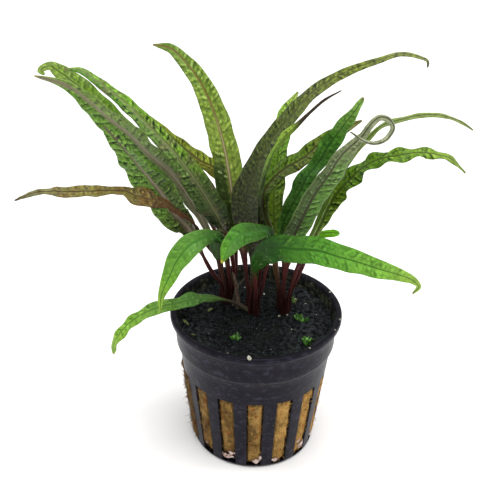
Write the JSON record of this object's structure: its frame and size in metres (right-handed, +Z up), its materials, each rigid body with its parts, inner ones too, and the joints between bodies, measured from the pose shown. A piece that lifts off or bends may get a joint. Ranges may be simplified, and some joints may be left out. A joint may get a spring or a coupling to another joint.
{
  "type": "potted aquarium plant",
  "caption": "Water trumpet plant with long, narrow, rippled leaves that arch out of a small slotted net pot filled with mineral wool and dark soil.",
  "frame": {"origin": "centre of the underside of the net pot", "axes": "+Z points up along the pot's axis, -Y points to the side that the picture shows, and +X points to that side's right"},
  "size_m": [0.1365, 0.057, 0.1443],
  "materials": {
    "pot_plastic": "satin, nearly black with a faint violet cast",
    "mineral_wool": "fibrous and matt, tan brown and damp",
    "soil": "fine loose grains, matt charcoal black",
    "moss": "fine upright sprouts, fresh green",
    "leaf": "satin and rippled, mottled from lime green to dark olive, with a mauve midrib",
    "withered_leaf": "dull and crumpled, olive brown",
    "dead_stalk": "dry and papery, tan to grey"
  },
  "bodies": {
    "root": {"net_pot": "pot_plastic", "growing_plug": "mineral_wool", "potting_soil": "soil", "moss_tuft_left": "moss", "moss_tuft_front": "moss", "moss_tuft_right": "moss", "mottled_left_leaf": "leaf", "striped_left_leaf": "leaf", "green_left_leaf": "leaf", "hooked_left_leaf": "leaf", "yellow_left_leaf": "leaf", "withered_leaf": "withered_leaf", "tall_yellow_green_leaf": "leaf", "long_arching_leaf": "leaf", "bright_back_leaf": "leaf", "folded_narrow_leaf": "leaf", "olive_leaf": "leaf", "dark_green_leaf": "leaf", "curled_tip_leaf": "leaf", "whip_leaf": "leaf", "ruffled_leaf": "leaf", "small_lime_leaf": "leaf", "broad_front_leaf": "leaf", "small_front_leaf": "leaf", "drooping_left_leaf": "leaf", "leaf_over_rim": "leaf", "small_dark_leaf": "leaf", "old_stalk_tan": "dead_stalk", "old_stalk_grey": "dead_stalk"}
  },
  "joints": []
}
